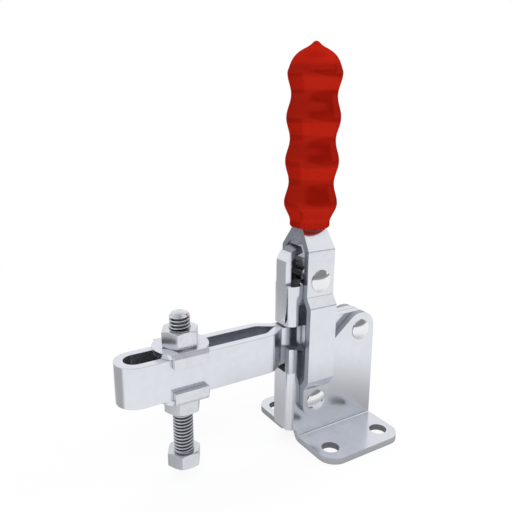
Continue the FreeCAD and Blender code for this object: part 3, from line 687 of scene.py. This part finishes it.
def make_grip():
    """Grip with its socket, in place of the solid's facets."""
    mesh = bmesh.new()
    leaning = (Matrix.Translation(LEVER_PIVOT) @ Matrix.Rotation(LEVER_LEAN, 4, "Y")
               @ Matrix.Translation(Vector((GRIP_ASIDE, 0.0, -LEVER_PIVOT.z))))

    def vertex(x, y, z):
        return mesh.verts.new(leaning @ (Vector((x, y, z)) * MM))

    skin = join_rings(mesh, turned_rings(grip_outline(), GRIP_STEPS, vertex))
    corners = ((-1, -1), (1, -1), (1, 1), (-1, 1))
    levels = [[vertex(SOCKET_HALF_LENGTH * x, half_depth * y, height) for x, y in corners]
              for half_depth, height in SOCKET_LEVELS]
    join_rings(mesh, levels)
    mesh.faces.new(levels[-1])
    bmesh.ops.triangle_fill(mesh, use_beauty=True, edges=open_edges(mesh))
    smooth(skin)
    finish_piece("grip_moulding", mesh, "red_grip", "lever", "handle_grip")


# Rivets

RIVETS = {
    # Node: its body, and which of its ends along Y have a head
    "lever_rivet": ("lever", (-1, 1)),
    "toggle_rivet": ("lever", (-1, 1)),
    "link_rivet": ("link", (-1, 1)),
    "arm_rivet_left": ("base", (1,)),
    "arm_rivet_right": ("base", (-1,)),
}
RIVET_HEAD_RADIUS = 4.65 * MM
RIVET_HEAD_EDGE = 0.35 * MM
RIVET_HEAD_HEIGHT = 1.3 * MM
SHANK_RADIUS = 3.0 * MM
DOME_STEPS = 10
RIVET_STEPS = 64


def head_profile(end, sign):
    """Radius and place along the axis, from under a rivet's head to its crown."""
    rise = RIVET_HEAD_HEIGHT - RIVET_HEAD_EDGE
    ball = (RIVET_HEAD_RADIUS ** 2 + rise ** 2) / (2 * rise)
    widest = math.asin(RIVET_HEAD_RADIUS / ball)
    seat = end - RIVET_HEAD_HEIGHT * sign
    points = [(SHANK_RADIUS, seat), (RIVET_HEAD_RADIUS, seat)]
    for step in range(DOME_STEPS):
        angle = widest * (1 - step / DOME_STEPS)
        points.append((ball * math.sin(angle), end - ball * (1 - math.cos(angle)) * sign))
    return points + [(0.0, end)]


def make_rivet(node, body, head_ends):
    """Rivet with domed heads, in place of the solid's facets."""
    low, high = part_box(node)
    middle = Vector(((low.x + high.x) / 2, 0.0, (low.z + high.z) / 2))
    profile = [(0.0, low.y), (SHANK_RADIUS, low.y)]
    if -1 in head_ends:
        profile = list(reversed(head_profile(low.y, -1)))
    if 1 in head_ends:
        profile += head_profile(high.y, 1)
    else:
        profile += [(SHANK_RADIUS, high.y), (0.0, high.y)]
    mesh = bmesh.new()
    rings = turned_rings(profile, RIVET_STEPS, lambda x, z, along: mesh.verts.new((x, along, z)))
    smooth(join_rings(mesh, rings))
    finish_piece(node + "_turned", mesh, "rivet_steel", body, node, middle)


# Threaded spindle, from the underside of its head up

# Vertices nearer than this are joined, on the thread's rows and where its ends are cut off
ROW_WELD = 1e-7
CUT_WELD = 2e-6


def finish_spindle_piece(name, mesh, material):
    """Finish a piece of the spindle, whose origin is the middle of the head's underside."""
    middle = (SPINDLE_LOW + SPINDLE_HIGH) / 2
    middle.z = SPINDLE_LOW.z
    finish_piece(name, mesh, material, "spindle", "spindle_bolt", middle)


def thread_radius(cut, z):
    """Radius of the thread at a height, turned down to a cone at the tip."""
    cone = SPINDLE_RADIUS - max(0.0, z - (SPINDLE_TOP - SPINDLE_CHAMFER))
    return min(SPINDLE_RADIUS - THREAD_DEPTH * cut, cone)


def thread_row(mesh, turn, share, cut):
    """Vertices once round the axis that rise by one pitch."""
    row = []
    for step in range(THREAD_STEPS + 1):
        angle = 2 * math.pi * step / THREAD_STEPS
        z = THREAD_FOOT + THREAD_PITCH * (turn + share + step / THREAD_STEPS)
        radius = thread_radius(cut, z)
        row.append(mesh.verts.new((radius * math.cos(angle), radius * math.sin(angle), z)))
    return row


def make_spindle_thread():
    """Threaded rod: a wound strip, cut off flat at both ends, with a low crown on its tip."""
    mesh = bmesh.new()
    # Turns from one below the foot to one that is wholly above the top
    turns = range(-1, int((SPINDLE_TOP - THREAD_FOOT) / THREAD_PITCH) + 3)
    rows = [thread_row(mesh, turn, share, cut) for turn in turns for share, cut in THREAD_ROWS]
    for first, second in zip(rows, rows[1:]):
        for step in range(THREAD_STEPS):
            mesh.faces.new((first[step], first[step + 1], second[step + 1], second[step]))
    bmesh.ops.remove_doubles(mesh, verts=mesh.verts, dist=ROW_WELD)
    for height, direction in ((THREAD_FOOT, -1), (SPINDLE_TOP, 1)):
        bmesh.ops.bisect_plane(mesh, geom=mesh.verts[:] + mesh.edges[:] + mesh.faces[:],
                               plane_co=(0, 0, height), plane_no=(0, 0, direction),
                               clear_outer=True)
    bmesh.ops.remove_doubles(mesh, verts=mesh.verts, dist=CUT_WELD)
    bmesh.ops.dissolve_degenerate(mesh, edges=mesh.edges, dist=CUT_WELD)
    smooth(mesh.faces)
    caps = bmesh.ops.holes_fill(mesh, edges=open_edges(mesh), sides=0)["faces"]
    crown = [face for face in caps if face.calc_center_median().z > THREAD_FOOT + THREAD_PITCH]
    bmesh.ops.inset_individual(mesh, faces=crown, thickness=CROWN_MARGIN, depth=SPINDLE_CROWN,
                               use_even_offset=False)
    finish_spindle_piece("spindle_thread", mesh, "zinc_thread")


def make_spindle_head():
    """Hexagon head whose corners are turned down at both ends."""
    mesh = bmesh.new()

    def across(angle):
        from_flat = angle % HEX_SIXTH - HEX_SIXTH / 2
        return HEX_FLATS / 2 / math.cos(from_flat)

    def drop(angle):
        return max(0.0, across(angle) - HEX_CHAMFER_START) * HEX_CHAMFER_SLOPE

    def ring(radius_at, z_at):
        return [mesh.verts.new((radius_at(a) * math.cos(a), radius_at(a) * math.sin(a), z_at(a)))
                for a in circle(HEX_STEPS)]

    rings = [
        ring(lambda a: HEX_CHAMFER_START, lambda a: 0.0),
        ring(across, drop),
        ring(across, lambda a: HEAD_HEIGHT - drop(a)),
        ring(lambda a: HEX_CHAMFER_START, lambda a: HEAD_HEIGHT),
    ]
    mesh.faces.new(rings[0])
    join_rings(mesh, rings)
    mesh.faces.new(rings[-1])
    finish_spindle_piece("spindle_head", mesh, "zinc_fastener")


make_grip()
for rivet_node, (rivet_body, rivet_ends) in RIVETS.items():
    make_rivet(rivet_node, rivet_body, rivet_ends)
make_spindle_thread()
make_spindle_head()


# Floor and room

# Where the camera-facing half of the room lies, as a direction on the floor
ROOM_FRONT = Vector((0.52, -0.854, 0.0))

FLOOR_HALF = 6.0
FLOOR_DROP = 0.2 * MM
FLOOR_COLOURS = ((0.95, 0.95, 0.955, 1.0), (0.97, 0.97, 0.975, 1.0))
FLOOR_MOTTLE_PER_METRE = 14.0
# Painted shadows and shade on the floor, seen only where metal mirrors it: from where to where,
# and the tones there. Left of the arm along X, from behind the clamp to before it along Y, before
# the web along X, round the origin and round the spindle's head, which are painted shadows of the
# clamp, and far ahead, which is painted shade away from the light
LEFT_TONES = (-0.14, -0.09, 0.42, 0.68)
BEHIND_TO_BEFORE = (0.014, -0.014)
BEFORE_TONE = 0.97
WEB_TONES = (-0.030, -0.022, 0.72, 0.45)
UNDER_TO_CLEAR = (0.025, 0.095)
HEAD_X = -0.094
HEAD_Y = -0.002
HEAD_TONES = (0.008, 0.020, 0.60, 1.0)
FAR_TONES = (0.42, 0.60, 1.0, 0.30)
# Share of plain white that the camera sees, from near the clamp to far, and that metal mirrors
CAMERA_SHARES = (0.15, 0.60, 0.88, 1.0)
MIRRORED_SHARE = 0.92


def make_floor():
    """Pale floor that shows white to the camera; what metal mirrors of it has painted shadows of
    the clamp and painted shade away from the light.
    """
    material, n = new_material("studio_floor")
    path = n.add("ShaderNodeLightPath").outputs
    direct = path["Is Camera Ray"]
    mirrored = n.math("MAXIMUM", path["Is Glossy Ray"], path["Is Transmission Ray"])
    where, axes = n.place()
    pale = n.blend(n.noise(where, FLOOR_MOTTLE_PER_METRE, detail=2.0, roughness=0.5),
                   *FLOOR_COLOURS)
    away = n.add("ShaderNodeVectorMath", operation="LENGTH")
    n.feed(away.inputs[0], where)
    distance = away.outputs["Value"]
    from_head = n.length(n.math("SUBTRACT", axes["X"], HEAD_X),
                         n.math("SUBTRACT", axes["Y"], HEAD_Y))
    left = n.span(axes["X"], *LEFT_TONES)
    behind = n.span(axes["Y"], *BEHIND_TO_BEFORE, left, BEFORE_TONE)
    by_web = n.span(axes["X"], *WEB_TONES)
    under = n.span(distance, *UNDER_TO_CLEAR, by_web, 1.0)
    by_head = n.span(from_head, *HEAD_TONES)
    far = n.span(n.along(where, ROOM_FRONT), *FAR_TONES)
    # Painted shadows and shade, only in what metal mirrors of the floor
    tone = n.product(behind, under, by_head, far)
    share = n.math("ADD", n.product(direct, n.span(distance, *CAMERA_SHARES)),
                   n.product(mirrored, MIRRORED_SHARE), clamp=True)
    strength = n.math("ADD", direct, n.product(mirrored, tone), clamp=True)
    matt = n.add("ShaderNodeBsdfDiffuse", Color=pale)
    glow = n.add("ShaderNodeEmission", Color=(1.0, 1.0, 1.0, 1.0), Strength=strength)
    n.show(n.mix_shaders(share, matt, glow))
    data = bpy.data.meshes.new("studio_floor")
    data.from_pydata([(-FLOOR_HALF, -FLOOR_HALF, 0), (FLOOR_HALF, -FLOOR_HALF, 0),
                      (FLOOR_HALF, FLOOR_HALF, 0), (-FLOOR_HALF, FLOOR_HALF, 0)],
                     [], [(0, 1, 2, 3)])
    data.materials.append(material)
    floor = bpy.data.objects.new("studio_floor", data)
    floor.location = (0, 0, CAD_BOX[0][2] - FLOOR_DROP)
    bpy.context.scene.collection.objects.link(floor)


# Tones that metal mirrors, by height in the room from the horizon to straight up
BACK_TONES = ((0.0, 0.97), (0.45, 0.97), (0.72, 0.85), (0.93, 0.45), (1.0, 0.40))
FRONT_TONES = ((0.0, 0.26), (0.44, 0.28), (0.51, 0.98), (0.78, 0.98), (0.93, 0.45), (1.0, 0.40))
# How softly the room turns from back to front, and where its lit right side starts
ROOM_TURN = (-0.35, 0.35)
RIGHT_SIDE = (0.81, 0.91)
RIGHT_COLOUR = (0.95, 0.95, 0.96, 1.0)
# What the camera sees behind the floor, and the light on matt surfaces
SEEN_COLOUR = (1.0, 1.0, 1.0, 1.0)
SOFT_COLOUR = (0.97, 0.985, 1.0, 1.0)
SOFT_STRENGTH = 0.52


def make_world():
    """Room that is only mirrored, with a plain white backdrop and soft even light."""
    world = bpy.data.worlds.new("studio")
    bpy.context.scene.world = world
    n = Nodes(world, "ShaderNodeOutputWorld")
    path = n.add("ShaderNodeLightPath").outputs
    where = n.add("ShaderNodeTexCoord").outputs["Generated"]
    axes = n.add("ShaderNodeSeparateXYZ", Vector=where).outputs
    ahead = n.span(n.along(where, ROOM_FRONT), *ROOM_TURN)
    room = n.blend(ahead, n.ramp(axes["Z"], BACK_TONES), n.ramp(axes["Z"], FRONT_TONES))
    room = n.blend(n.span(axes["X"], *RIGHT_SIDE), room, RIGHT_COLOUR)
    mirrored = n.add("ShaderNodeBackground", Color=room)
    seen = n.add("ShaderNodeBackground", Color=SEEN_COLOUR)
    soft = n.add("ShaderNodeBackground", Color=SOFT_COLOUR, Strength=SOFT_STRENGTH)
    unseen = n.mix_shaders(path["Is Glossy Ray"], soft, mirrored)
    n.show(n.mix_shaders(path["Is Camera Ray"], unseen, seen))


# Lamps and camera

LAMP_AIM = Vector((-0.02, 0.0, 0.06))
LAMPS = {
    # Name: place, width, height and watts
    "key_lamp": (Vector((-0.55, -0.75, 0.95)), 0.7, 0.7, 6.2),
    "fill_lamp": (Vector((0.75, -0.35, 0.6)), 0.25, 0.7, 2.4),
    "top_lamp": (Vector((0.1, 0.35, 1.1)), 0.9, 0.6, 3.8),
}

# Camera, fitted to the photo in the row frame
CAMERA_PLACE = Vector((-152.754, -184.829, 144.476)) * MM
CAMERA_YAW = math.radians(-31.562)
CAMERA_PITCH = math.radians(-15.028)
CAMERA_ROLL = math.radians(0.07)
# Blender's camera looks straight down until it is tipped up to look level
CAMERA_LEVEL = math.radians(90)
# Sensor and lens in millimetres
CAMERA_SENSOR = 36.0
CAMERA_LENS = 40.11
CAMERA_SHIFT = (0.0038, -0.0017)
CAMERA_CLIP = (0.01, 50.0)


def make_lamp(name, place, width, height, watts):
    """Soft lamp that is aimed at the clamp and not mirrored in it."""
    light = bpy.data.lights.new(name, "AREA")
    light.shape = "RECTANGLE"
    light.size = width
    light.size_y = height
    light.energy = watts
    lamp = bpy.data.objects.new(name, light)
    lamp.location = place
    lamp.rotation_euler = (LAMP_AIM - place).to_track_quat("-Z", "Y").to_euler()
    lamp.visible_glossy = False
    bpy.context.scene.collection.objects.link(lamp)


def make_camera():
    """Camera with the place and lens of the one that took the photo."""
    data = bpy.data.cameras.new("photo_camera")
    data.sensor_width = CAMERA_SENSOR
    data.lens = CAMERA_LENS
    data.shift_x, data.shift_y = CAMERA_SHIFT
    data.clip_start, data.clip_end = CAMERA_CLIP
    camera = bpy.data.objects.new("photo_camera", data)
    turn = (Matrix.Rotation(CAMERA_YAW, 3, "Z")
            @ Matrix.Rotation(CAMERA_LEVEL + CAMERA_PITCH, 3, "X")
            @ Matrix.Rotation(CAMERA_ROLL, 3, "Z"))
    camera.matrix_world = Matrix.Translation(CAMERA_PLACE) @ turn.to_4x4()
    bpy.context.scene.collection.objects.link(camera)
    bpy.context.scene.camera = camera


make_floor()
make_world()
for lamp_name, lamp_values in LAMPS.items():
    make_lamp(lamp_name, *lamp_values)
make_camera()
bpy.context.scene.view_settings.view_transform = "Standard"
